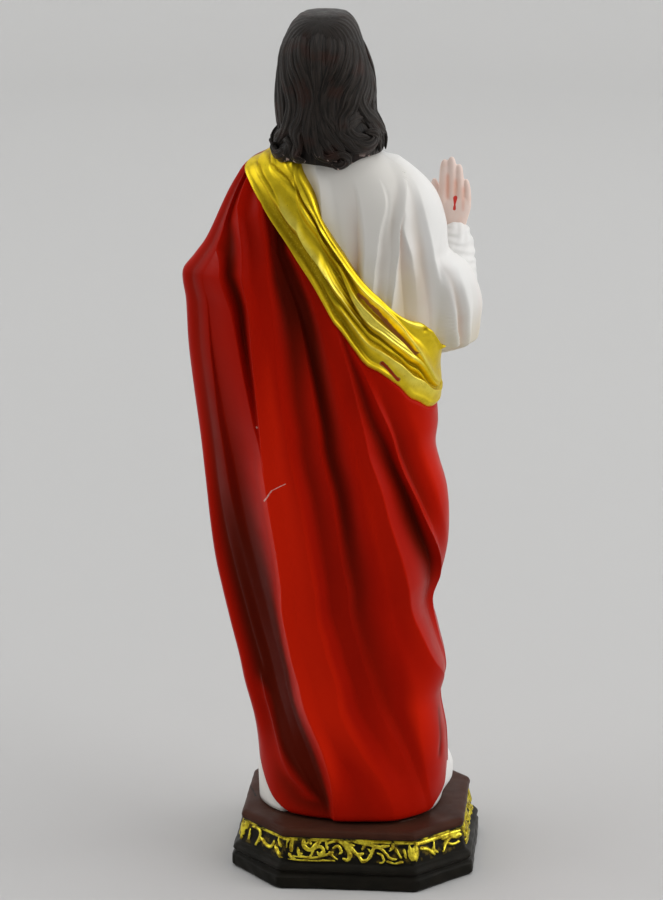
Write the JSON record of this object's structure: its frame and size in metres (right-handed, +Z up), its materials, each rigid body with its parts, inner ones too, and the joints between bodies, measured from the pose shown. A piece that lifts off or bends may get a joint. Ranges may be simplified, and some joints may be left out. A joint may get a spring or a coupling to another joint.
{
  "type": "sacred heart statue",
  "caption": "Painted cast resin statue of a robed, long-haired man with one hand raised and a heart on the breast, on an eight-sided moulded plinth.",
  "frame": {"origin": "centre of the plinth's flat underside", "axes": "+Z up along the figure's height, -Y the way the figure faces, +X towards the figure's left hand"},
  "size_m": [0.1018, 0.0792, 0.3],
  "materials": {
    "painted_figure": "satin paint on cast resin: red mantle, white robe, gilt facing, brown hair, pink skin",
    "painted_plinth": "satin dark brown and black paint with gilt scrolls"
  },
  "bodies": {
    "root": {"figure": "painted_figure", "plinth": "painted_plinth"}
  },
  "joints": []
}
